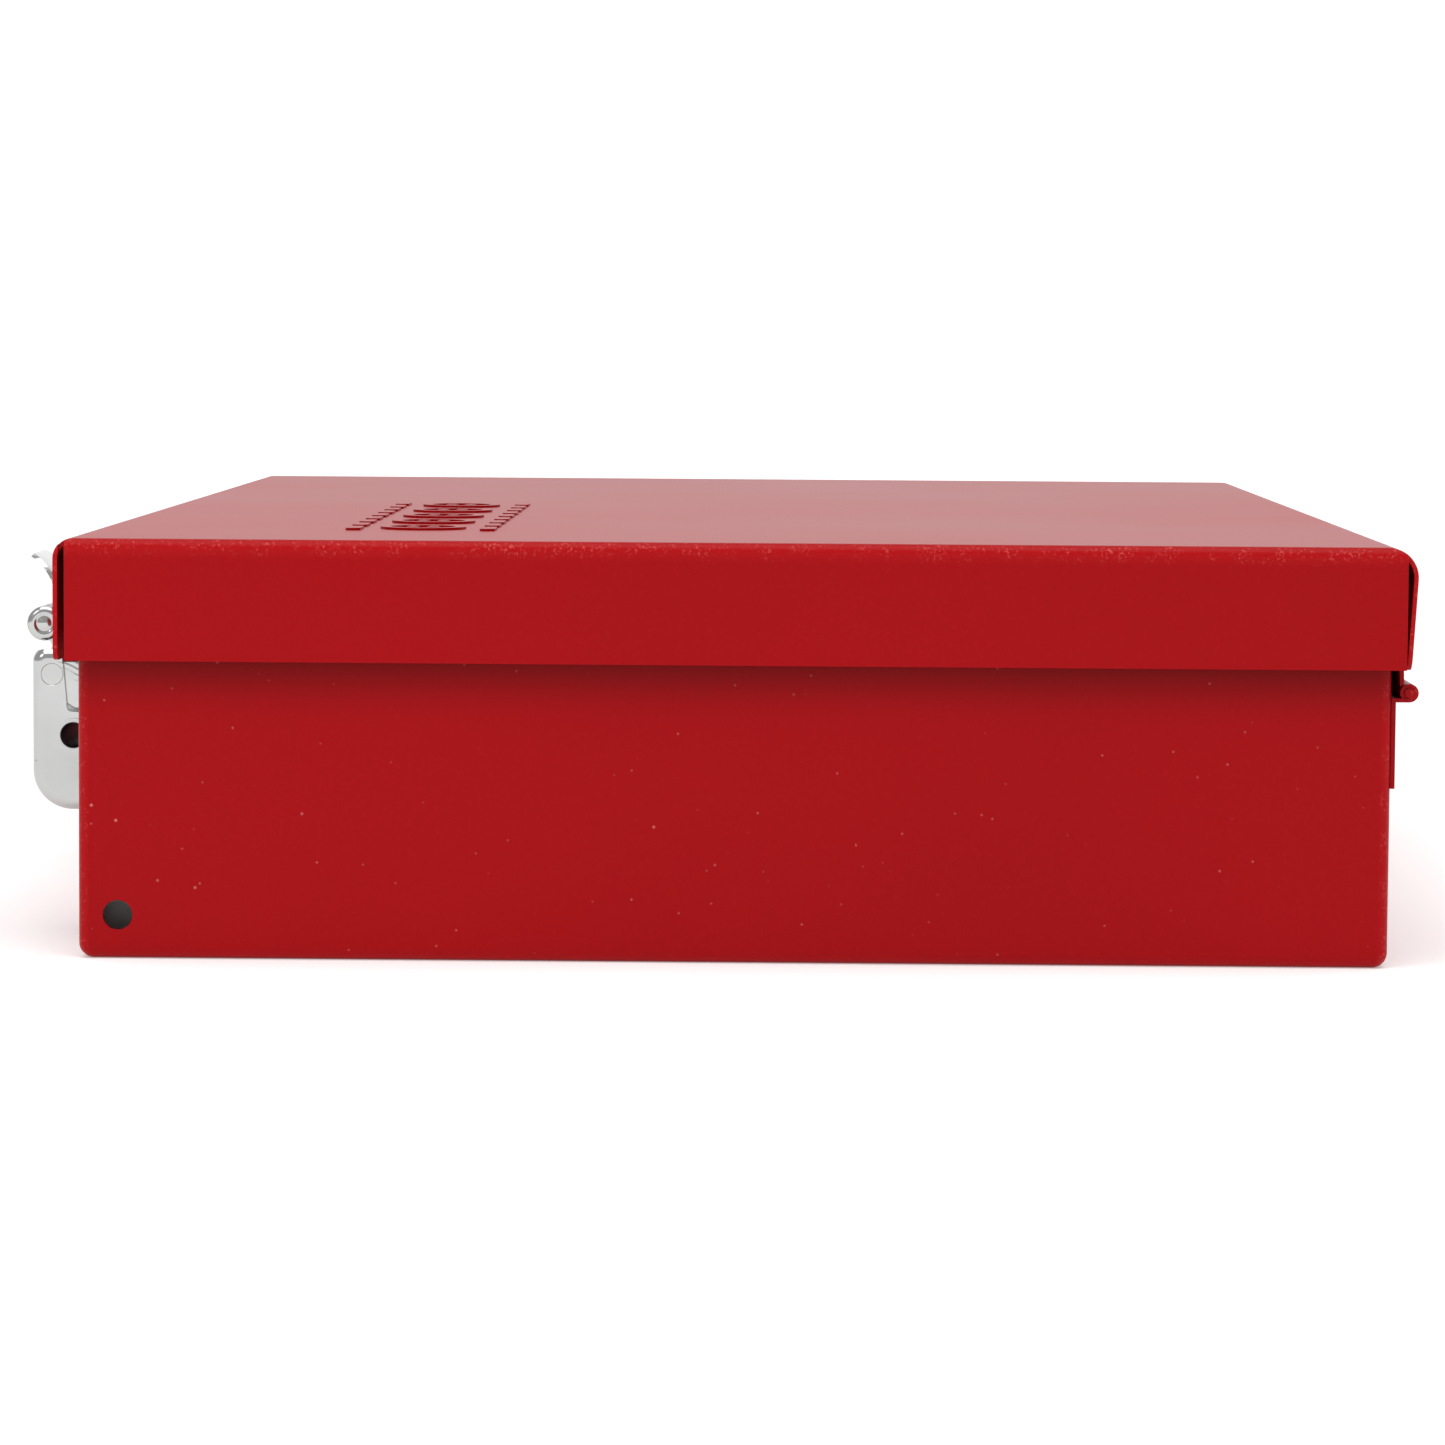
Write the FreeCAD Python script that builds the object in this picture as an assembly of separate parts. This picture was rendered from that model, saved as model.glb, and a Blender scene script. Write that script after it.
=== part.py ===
import FreeCAD, Part
import math
import os

V = FreeCAD.Vector

# Sheet-steel sewing box: a pan with a skirted lid on a piano hinge, two drawbolts and a bail handle on the front,
# a sliding till on runners, and two lift-out trays under it.
# Frame: X along the hinge, -Y front, +Z up, origin on the bench under the middle of the pan. Millimetres.

# ---- driving dimensions ----
BODY_LENGTH = 400.0
BODY_DEPTH = 263.0
OVERALL_HEIGHT = 84.7
SHEET = 0.9
LID_GAP = 0.5             # pan rim to the underside of the lid
BODY_CORNER_R = 2.2       # upright corners of the pan
BODY_BOTTOM_R = 3.0       # bend between the walls and the floor
HEM_HEIGHT = 7.0          # folded rim of the pan
HEM_EXTRA = 0.9

SKIRT_BOTTOM_Z = 60.3
FRONT_SKIRT_OUT = 4.3     # outer face of the front skirt beyond the pan
REAR_SKIRT_OUT = 4.75     # rear skirt at the lid top
REAR_SKIRT_LOW_OUT = 3.3  # rear skirt at its lower edge
END_SKIRT_OUT = 4.6
LID_FRONT_R = 4.0
LID_REAR_R = 6.0
LID_END_R = 1.9
CORNER_SLOT = 1.2
MARK_HEIGHT = 0.5         # raised stitch pattern on the lid

DRAIN_R = 3.0             # hole low in each end wall
DRAIN_Y = 8.0
DRAIN_Z = 8.9

HINGE_Z = 55.4
HINGE_OUT = 3.6           # hinge axis behind the rear wall
HINGE_PIN_R = 1.0
PIN_CLEARANCE = 0.06
HINGE_BARREL_R = 1.85
HINGE_LEAF = 0.9
HINGE_END_INSET = 1.5
HINGE_KNUCKLES = 17
KNUCKLE_GAP = 0.4
LOWER_LEAF_Z = 36.2

LATCH_X = 157.0
LATCH_WIDTH = 30.0
LATCH_SHEET = 1.0
LEVER_OUT = 13.2          # front of the lever beyond the pan
LEVER_BOTTOM_Z = 27.3
LEVER_TOP_Z = 60.9
LEVER_BOTTOM_R = 8.2
LEVER_TOP_R = 3.0
LEVER_EDGE_R = 2.3        # drawn edge between the lever web and its sides
LEVER_WEB_TOP_Z = 37.8
PIVOT_INSET = 4.2         # lever pivot behind the front of the lever
PIVOT_Z = 55.3
PIVOT_R = 1.5
EAR_GAP = 0.75            # base ears to the inside of the drawn lever
PIVOT_HEAD_R = 2.2        # countersunk heads, flush with the lever sides
BASE_RIVET_Z = 53.3
EYELET_OUT = 4.6          # link pivot in the lever
EYELET_Z = 42.8
EYELET_R = 2.9
EYELET_BORE_R = 2.5
LINK_SHEET = 0.8
BEAD_INSET = 2.3          # hooked bead of the link behind the front of the lever
BEAD_Z = 65.6
BEAD_R = 3.2
ROLL_R = 1.55             # keeper roll, middle of its sheet
ROLL_LIFT = 0.4
KEEPER_WIDTH = 22.0
FLAT_GAP = 0.2            # between flat faces that slide past each other

HANDLE_SPAN = 104.0
HANDLE_DROP = 30.0
HANDLE_ROD_R = 2.75
HANDLE_Z = 48.0
HANDLE_OUT = 6.9
HANDLE_BEND_R = 9.0
GRIP_R = 5.8
BRACKET_RIVET_DZ = 8.2
GRIP_LENGTH = 78.0

RUNNER_Z = 50.0           # top face of the till runners
RUNNER_WIDTH = 8.0
RUNNER_LEG = 12.0
RUNNER_SHEET = 1.0
TILL_DEPTH = 125.0
TILL_HEIGHT = 24.5
TILL_SIDE_GAP = 0.6
TRAY_SHEET = 0.8
TRAY_HEIGHT = 43.0
TRAY_GAP = 0.5
TRAY_WALL_GAP = 1.2
TRAY_SEAT_GAP = 0.2
TILL_CROSS_PLATES = 5
FRONT_TRAY_PLATES = 4
REAR_TRAY_PLATES = 5
TILL_LONG_BAY = 32.0      # clear width of the long front bay of the till

RIVET_R = 1.6
RIVET_HEAD_R = 3.0
RIVET_HEAD_H = 1.1

# ---- derived ----
FRONT_Y = -BODY_DEPTH / 2
REAR_Y = BODY_DEPTH / 2
END_X = BODY_LENGTH / 2
BODY_HEIGHT = OVERALL_HEIGHT - SHEET - LID_GAP
LID_END_X = END_X + END_SKIRT_OUT
HINGE_Y = REAR_Y + HINGE_OUT
INNER_X = END_X - SHEET
INNER_Y = REAR_Y - SHEET
PIVOT_OUT = LEVER_OUT - PIVOT_INSET
BEAD_OUT = LEVER_OUT - BEAD_INSET
roll_z = BEAD_Z + ROLL_LIFT
keeper_rivet_z = roll_z + 6.5

os.makedirs("parts", exist_ok=True)


def save(name, solids):
    if not isinstance(solids, (list, tuple)):
        solids = [solids]
    flat = []
    for s in solids:
        flat += s.Solids
    shape = flat[0] if len(flat) == 1 else Part.makeCompound(flat)
    shape.exportStep("parts/" + name + ".step")
    ok = all(s.isValid() and s.isClosed() for s in flat)
    print(name, len(flat), "solid(s)", "valid" if ok else "NOT VALID", round(shape.Volume, 1))


def box(x0, x1, y0, y1, z0, z1):
    return Part.makeBox(x1 - x0, y1 - y0, z1 - z0, V(x0, y0, z0))


def rod_x(r, x0, x1, y, z):
    return Part.makeCylinder(r, x1 - x0, V(x0, y, z), V(1, 0, 0))


def rod_y(r, y0, y1, x, z):
    return Part.makeCylinder(r, y1 - y0, V(x, y0, z), V(0, 1, 0))


def upright_edges(solid, tol=1e-6):
    out = []
    for e in solid.Edges:
        a, b = e.Vertexes[0].Point, e.Vertexes[-1].Point
        if abs(a.x - b.x) < tol and abs(a.y - b.y) < tol:
            out.append(e)
    return out


def rounded_box(x0, x1, y0, y1, z0, z1, corner_r, bottom_r):
    # Box with rounded upright corners and a rounded lower edge.
    s = box(x0, x1, y0, y1, z0, z1)
    s = s.makeFillet(corner_r, upright_edges(s))
    low = [e for e in s.Edges if e.BoundBox.ZMax < z0 + 1e-6]
    return s.makeFillet(bottom_r, low)


def pan(x0, x1, y0, y1, z0, z1, t, corner_r, bottom_r):
    outer = rounded_box(x0, x1, y0, y1, z0, z1, corner_r, bottom_r)
    inner = rounded_box(x0 + t, x1 - t, y0 + t, y1 - t, z0 + t, z1 + 5.0, corner_r - t * 0.8, bottom_r - t * 0.8)
    return outer.cut(inner)


def front(points):
    # Side-view points (distance out from the front wall, height) as model points at x = 0.
    return [V(0, FRONT_Y - p[0], p[1]) for p in points]


def arc_point(centre, r, deg):
    a = math.radians(deg)
    return (centre[0] + r * math.cos(a), centre[1] + r * math.sin(a))


class SheetPath:
    # Bent strip seen edge-on: runs and tangent bends, later given its thickness to both sides.
    def __init__(self, x, z, heading):
        self.x, self.z, self.h = x, z, heading
        self.pieces = []

    def run(self, length):
        a = math.radians(self.h)
        x2, z2 = self.x + length * math.cos(a), self.z + length * math.sin(a)
        self.pieces.append(("run", (self.x, self.z), (x2, z2), self.h))
        self.x, self.z = x2, z2
        return self

    def bend(self, r, turn):
        side = 1 if turn > 0 else -1
        a = math.radians(self.h)
        c = (self.x - side * r * math.sin(a), self.z + side * r * math.cos(a))
        start = self.h - side * 90.0
        self.pieces.append(("bend", c, r, start, turn, side))
        self.x, self.z = arc_point(c, r, start + turn)
        self.h += turn
        return self

    def side_edges(self, offset, to3d):
        edges = []
        for p in self.pieces:
            if p[0] == "run":
                a = math.radians(p[3])
                n = (-math.sin(a) * offset, math.cos(a) * offset)
                s, e = (p[1][0] + n[0], p[1][1] + n[1]), (p[2][0] + n[0], p[2][1] + n[1])
                edges.append((Part.LineSegment(to3d(s), to3d(e)), s, e))
            else:
                c, r, start, turn, side = p[1:]
                rr = r - side * offset
                s, m = arc_point(c, rr, start), arc_point(c, rr, start + turn / 2)
                e = arc_point(c, rr, start + turn)
                edges.append((Part.Arc(to3d(s), to3d(m), to3d(e)), s, e))
        return edges

    def face(self, t, to3d):
        left, right = self.side_edges(t / 2, to3d), self.side_edges(-t / 2, to3d)
        shapes = [e[0].toShape() for e in left + right]
        shapes.append(Part.LineSegment(to3d(left[0][1]), to3d(right[0][1])).toShape())
        shapes.append(Part.LineSegment(to3d(left[-1][2]), to3d(right[-1][2])).toShape())
        return Part.Face(Part.Wire(Part.__sortEdges__(shapes)))


def front_strip(path, t, x0, x1):
    to3d = lambda p: V(x0, FRONT_Y - p[0], p[1])
    return path.face(t, to3d).extrude(V(x1 - x0, 0, 0))


def wire_face(parts2d, to3d):
    # Outline from ("line", a, b) and ("arc", a, m, b) pieces.
    shapes = []
    for p in parts2d:
        pts = [to3d(q) for q in p[1:]]
        shapes.append((Part.LineSegment(*pts) if p[0] == "line" else Part.Arc(*pts)).toShape())
    return Part.Face(Part.Wire(Part.__sortEdges__(shapes)))


def rounded_outline(points, radii):
    # Closed polygon whose corners are rounded, as line and arc pieces.
    n = len(points)
    cuts = []
    for i in range(n):
        p, a, b = points[i], points[i - 1], points[(i + 1) % n]
        r = radii[i]
        ua = ((a[0] - p[0]), (a[1] - p[1]))
        ub = ((b[0] - p[0]), (b[1] - p[1]))
        la, lb = math.hypot(*ua), math.hypot(*ub)
        ua, ub = (ua[0] / la, ua[1] / la), (ub[0] / lb, ub[1] / lb)
        half = math.acos(max(-1.0, min(1.0, ua[0] * ub[0] + ua[1] * ub[1]))) / 2
        if r <= 0:
            cuts.append((p, None, p))
            continue
        d = r / math.tan(half)
        s = (p[0] + ua[0] * d, p[1] + ua[1] * d)
        e = (p[0] + ub[0] * d, p[1] + ub[1] * d)
        bis = (ua[0] + ub[0], ua[1] + ub[1])
        lb2 = math.hypot(*bis)
        k = r / math.sin(half) - r
        cuts.append((s, (p[0] + bis[0] / lb2 * k, p[1] + bis[1] / lb2 * k), e))
    out = []
    for i in range(n):
        s, m, e = cuts[i]
        if m is not None:
            out.append(("arc", s, m, e))
        nxt = cuts[(i + 1) % n][0]
        if math.hypot(nxt[0] - e[0], nxt[1] - e[1]) > 1e-7:
            out.append(("line", e, nxt))
    return out


def side_prism(points, radii, x0, x1):
    to3d = lambda p: V(x0, FRONT_Y - p[0], p[1])
    return wire_face(rounded_outline(points, radii), to3d).extrude(V(x1 - x0, 0, 0))


def front_prism(points, radii, out0, out1):
    # Outline in the X-Z plane pushed out from the front wall.
    to3d = lambda p: V(p[0], FRONT_Y - out0, p[1])
    return wire_face(rounded_outline(points, radii), to3d).extrude(V(0, -(out1 - out0), 0))


def dome(r, h, centre, axis):
    # Low rivet head: spherical cap of radius r and height h.
    big = (r * r + h * h) / (2 * h)
    base = V(*centre)
    n = V(*axis)
    ball = Part.makeSphere(big, base - n * (big - h))
    keep = Part.makeCylinder(r * 1.2, h * 1.5, base, n)
    return ball.common(keep)


def front_rivet(x, z, out_head, out_tail):
    # Rivet along Y through sheet between out_tail and out_head, domed outside and flat-headed inside.
    shank = rod_y(RIVET_R, FRONT_Y - out_head, FRONT_Y - out_tail, x, z)
    head = dome(RIVET_HEAD_R, RIVET_HEAD_H, (x, FRONT_Y - out_head, z), (0, -1, 0))
    tail = rod_y(RIVET_HEAD_R * 0.8, FRONT_Y - out_tail, FRONT_Y - out_tail + 0.7, x, z)
    return shank.fuse(head).fuse(tail).removeSplitter()


# ---- pan ----
pan_shell = pan(-END_X, END_X, FRONT_Y, REAR_Y, 0, BODY_HEIGHT, SHEET, BODY_CORNER_R, BODY_BOTTOM_R)
hem_outer = box(-END_X + SHEET * 0.5, END_X - SHEET * 0.5, FRONT_Y + SHEET * 0.5, REAR_Y - SHEET * 0.5,
                BODY_HEIGHT - HEM_HEIGHT, BODY_HEIGHT)
hem_t = SHEET + HEM_EXTRA
hem_inner = box(-END_X + hem_t, END_X - hem_t, FRONT_Y + hem_t, REAR_Y - hem_t, BODY_HEIGHT - HEM_HEIGHT - 1,
                BODY_HEIGHT + 1)
hem_inner = hem_inner.makeFillet(1.2, upright_edges(hem_inner))
hem_outer = hem_outer.makeFillet(BODY_CORNER_R - 0.4, upright_edges(hem_outer))
body_pan = pan_shell.fuse(hem_outer.cut(hem_inner)).removeSplitter()
drain_y = FRONT_Y + DRAIN_Y
body_pan = body_pan.cut(rod_x(DRAIN_R, -END_X - 1, END_X + 1, drain_y, DRAIN_Z))

latch_rivets = [(sx * LATCH_X + dx, BASE_RIVET_Z) for sx in (-1, 1) for dx in (-7.5, 7.5)]
handle_bracket_x = HANDLE_SPAN / 2 - 16.0
handle_rivets = [(sx * handle_bracket_x, HANDLE_Z + dz) for sx in (-1, 1) for dz in (-BRACKET_RIVET_DZ, BRACKET_RIVET_DZ)]
for x, z in latch_rivets + handle_rivets:
    body_pan = body_pan.cut(rod_y(RIVET_R, FRONT_Y - 2, FRONT_Y + 2, x, z))
save("body_pan", body_pan)

# ---- till runners: angles spot-welded inside the end walls ----
for name, sx in (("left_tray_runner", -1), ("right_tray_runner", 1)):
    xs = sorted((sx * INNER_X, sx * (INNER_X - RUNNER_WIDTH)))
    xl = sorted((sx * INNER_X, sx * (INNER_X - RUNNER_SHEET)))
    y0, y1 = -INNER_Y + 1.5, INNER_Y - 1.5
    shelf = box(xs[0], xs[1], y0, y1, RUNNER_Z - RUNNER_SHEET, RUNNER_Z)
    leg = box(xl[0], xl[1], y0, y1, RUNNER_Z - RUNNER_LEG, RUNNER_Z)
    save(name, shelf.fuse(leg).removeSplitter())

# ---- piano hinge ----
hinge_len = BODY_LENGTH - 2 * HINGE_END_INSET
pitch = hinge_len / HINGE_KNUCKLES
x_first = -hinge_len / 2
bore_r = HINGE_PIN_R + PIN_CLEARANCE


def knuckles(first):
    return [(x_first + i * pitch + KNUCKLE_GAP / 2, x_first + (i + 1) * pitch - KNUCKLE_GAP / 2)
            for i in range(first, HINGE_KNUCKLES, 2)]


def rear(p):
    return V(x_first, REAR_Y + p[0], p[1])


mid_r = (HINGE_BARREL_R + bore_r) / 2
leaf_t = HINGE_BARREL_R - bore_r
# Lower leaf: flat on the wall, stepping out under the barrel.
low_top = HINGE_Z - HINGE_BARREL_R + leaf_t
low_leaf = Part.Face(Part.makePolygon([rear(p) for p in (
    (0, LOWER_LEAF_Z), (HINGE_LEAF, LOWER_LEAF_Z), (HINGE_LEAF, low_top - leaf_t), (HINGE_OUT, low_top - leaf_t),
    (HINGE_OUT, low_top), (0, low_top), (0, LOWER_LEAF_Z))])).extrude(V(hinge_len, 0, 0))
# Upper leaf: flat inside the leaning rear skirt, running down to the wall side of the barrel.
skirt_h = OVERALL_HEIGHT - SKIRT_BOTTOM_Z
lean = (REAR_SKIRT_OUT - REAR_SKIRT_LOW_OUT) / skirt_h
up_top = OVERALL_HEIGHT - LID_REAR_R - 1.5


def skirt_inner(z):
    return REAR_SKIRT_LOW_OUT - SHEET + lean * (z - SKIRT_BOTTOM_Z)


low_out = HINGE_OUT - HINGE_BARREL_R + leaf_t
up_leaf = Part.Face(Part.makePolygon([rear(p) for p in (
    (skirt_inner(SKIRT_BOTTOM_Z), SKIRT_BOTTOM_Z), (skirt_inner(up_top), up_top),
    (skirt_inner(up_top) - HINGE_LEAF, up_top), (skirt_inner(SKIRT_BOTTOM_Z) - HINGE_LEAF, SKIRT_BOTTOM_Z),
    (low_out - leaf_t, HINGE_Z), (low_out, HINGE_Z),
    (skirt_inner(SKIRT_BOTTOM_Z), SKIRT_BOTTOM_Z))])).extrude(V(hinge_len, 0, 0))


def leaf_with_knuckles(leaf, mine, theirs):
    s = leaf
    for x0, x1 in mine:
        s = s.fuse(rod_x(HINGE_BARREL_R, x0, x1, HINGE_Y, HINGE_Z))
    for x0, x1 in theirs:
        s = s.cut(rod_x(HINGE_BARREL_R + 0.45, x0 - KNUCKLE_GAP, x1 + KNUCKLE_GAP, HINGE_Y, HINGE_Z))
    return s.cut(rod_x(bore_r, x_first - 1, -x_first + 1, HINGE_Y, HINGE_Z)).removeSplitter()


save("hinge_lower_leaf", leaf_with_knuckles(low_leaf, knuckles(0), knuckles(1)))
save("hinge_upper_leaf", leaf_with_knuckles(up_leaf, knuckles(1), knuckles(0)))
save("hinge_pin", rod_x(HINGE_PIN_R, x_first - 0.3, -x_first + 0.3, HINGE_Y, HINGE_Z))

# ---- lid ----
top = OVERALL_HEIGHT
lid_front = -FRONT_SKIRT_OUT
lid_rear = BODY_DEPTH + REAR_SKIRT_OUT
rear_low = BODY_DEPTH + REAR_SKIRT_LOW_OUT


def lid_to3d(x):
    return lambda p: V(x, FRONT_Y + p[0], p[1])


outer_pts = [(lid_front, SKIRT_BOTTOM_Z), (lid_front, top), (lid_rear, top), (rear_low, SKIRT_BOTTOM_Z)]
inner_pts = [(lid_front + SHEET, SKIRT_BOTTOM_Z - 1), (lid_front + SHEET, top - SHEET), (lid_rear - SHEET, top - SHEET),
             (rear_low - SHEET - lean, SKIRT_BOTTOM_Z - 1)]
x_core = LID_END_X - LID_END_R
sil = wire_face(rounded_outline(outer_pts, [0, LID_FRONT_R, LID_REAR_R, 0]), lid_to3d(-LID_END_X))
silhouette = sil.extrude(V(2 * LID_END_X, 0, 0))
hollow = wire_face(rounded_outline(inner_pts, [0, LID_FRONT_R - SHEET, LID_REAR_R - SHEET, 0]),
                   lid_to3d(-LID_END_X - 1)).extrude(V(2 * LID_END_X + 2, 0, 0))
wrap = silhouette.cut(hollow)
slot_front = FRONT_Y - FRONT_SKIRT_OUT + SHEET + 0.2
slot_rear = REAR_Y + REAR_SKIRT_OUT - SHEET - 0.2
end_front = slot_front + CORNER_SLOT
end_rear = REAR_Y + REAR_SKIRT_LOW_OUT - SHEET - 0.1
core = wrap.common(box(-x_core, x_core, FRONT_Y - 20, REAR_Y + 20, 0, top + 1))
flaps = wrap.cut(box(-LID_END_X - 1, LID_END_X + 1, slot_front, end_rear, 0, top + 1))
flap_x = LID_END_X - 0.4
flap_cut = Part.Face(Part.Wire(Part.__sortEdges__([
    (Part.LineSegment(*[V(q[0], FRONT_Y - 20, q[1]) for q in p[1:]]) if p[0] == "line"
     else Part.Arc(*[V(q[0], FRONT_Y - 20, q[1]) for q in p[1:]])).toShape()
    for p in rounded_outline([(-flap_x, SKIRT_BOTTOM_Z), (flap_x, SKIRT_BOTTOM_Z), (flap_x, top + 1), (-flap_x, top + 1)],
                             [2.5, 2.5, 0, 0])]))).extrude(V(0, BODY_DEPTH + 40, 0))
flaps = flaps.common(flap_cut)
core = core.common(flap_cut)
rear_slot = box(-LID_END_X - 1, LID_END_X + 1, REAR_Y - 1, REAR_Y + 9, 0, top + 1)
front_flaps = flaps.cut(rear_slot)
rear_flaps = flaps.cut(box(-LID_END_X - 1, LID_END_X + 1, FRONT_Y - 20, slot_rear - 1.3, 0, top + 1))

ends = []
for sx in (-1, 1):
    pts = [(sx * (x_core - 6), top), (sx * LID_END_X, top), (sx * LID_END_X, SKIRT_BOTTOM_Z),
           (sx * (LID_END_X - SHEET), SKIRT_BOTTOM_Z), (sx * (LID_END_X - SHEET), top - SHEET),
           (sx * (x_core - 6), top - SHEET)]
    to3d = lambda p: V(p[0], end_front, p[1])
    f = wire_face(rounded_outline(pts, [0, LID_END_R, 0, 0, LID_END_R - SHEET, 0]), to3d)
    ends.append(f.extrude(V(0, end_rear - end_front, 0)).common(silhouette))
lid = core
for s in ends + [front_flaps, rear_flaps]:
    lid = lid.fuse(s)

# Raised pattern: a running stitch either side of a row of sewing buttons.
mark = []
for row_y in (-80.0, -52.0):
    for i in range(9):
        x0 = 6.0 + i * 17.4
        bar = box(x0, x0 + 11.0, row_y - 1.6, row_y + 1.6, top - 0.4, top + MARK_HEIGHT)
        mark.append(bar.makeFillet(1.5, upright_edges(bar)))
for i in range(5):
    cx, cy = 17.0 + i * 32.0, -66.0
    ring = Part.makeCylinder(9.0, 0.4 + MARK_HEIGHT, V(cx, cy, top - 0.4))
    ring = ring.cut(Part.makeCylinder(6.8, 5.0, V(cx, cy, top - 1)))
    mark.append(ring)
    for k in range(4):
        a = math.radians(45 + 90 * k)
        mark.append(Part.makeCylinder(1.3, 0.4 + MARK_HEIGHT, V(cx + 3 * math.cos(a), cy + 3 * math.sin(a), top - 0.4)))
for m in mark:
    lid = lid.fuse(m)
keeper_rivets = [(sx * LATCH_X + dx, keeper_rivet_z) for sx in (-1, 1) for dx in (-6.5, 6.5)]
for x, z in keeper_rivets:
    lid = lid.cut(rod_y(RIVET_R, FRONT_Y - 8, FRONT_Y, x, z))
lid = lid.removeSplitter()
save("lid_shell", lid)
save("keeper_rivets", [front_rivet(x, z, FRONT_SKIRT_OUT + SHEET, FRONT_SKIRT_OUT - SHEET) for x, z in keeper_rivets])

# ---- drawbolts ----
half_w = LATCH_WIDTH / 2
sink_depth = 0.7 * LATCH_SHEET
flange_in = half_w - LATCH_SHEET
ear_out = flange_in - FLAT_GAP
ear_in = ear_out - LATCH_SHEET
link_half = ear_in - 0.8
link_bore_r = EYELET_R + 0.05
link_ring_r = link_bore_r + LINK_SHEET / 2

# Tangent from the link's knuckle to the fold under its bead.
fold_r = 0.9
ring_start = 260.0
ring_heading = ring_start - 270.0
ring_point = arc_point((BEAD_OUT, BEAD_Z), BEAD_R, ring_start)
hr = math.radians(ring_heading)
fold_c = (ring_point[0] + fold_r * math.sin(hr), ring_point[1] - fold_r * math.cos(hr))
dx, dz = fold_c[0] - EYELET_OUT, fold_c[1] - EYELET_Z
dist = math.hypot(dx, dz)
link_heading = math.degrees(math.atan2(dz, dx) - math.asin((link_ring_r - fold_r) / dist))
link_run = math.sqrt(dist ** 2 - (link_ring_r - fold_r) ** 2)
tab_out = 8.4
keeper_top_z = keeper_rivet_z + 3.6


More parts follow.
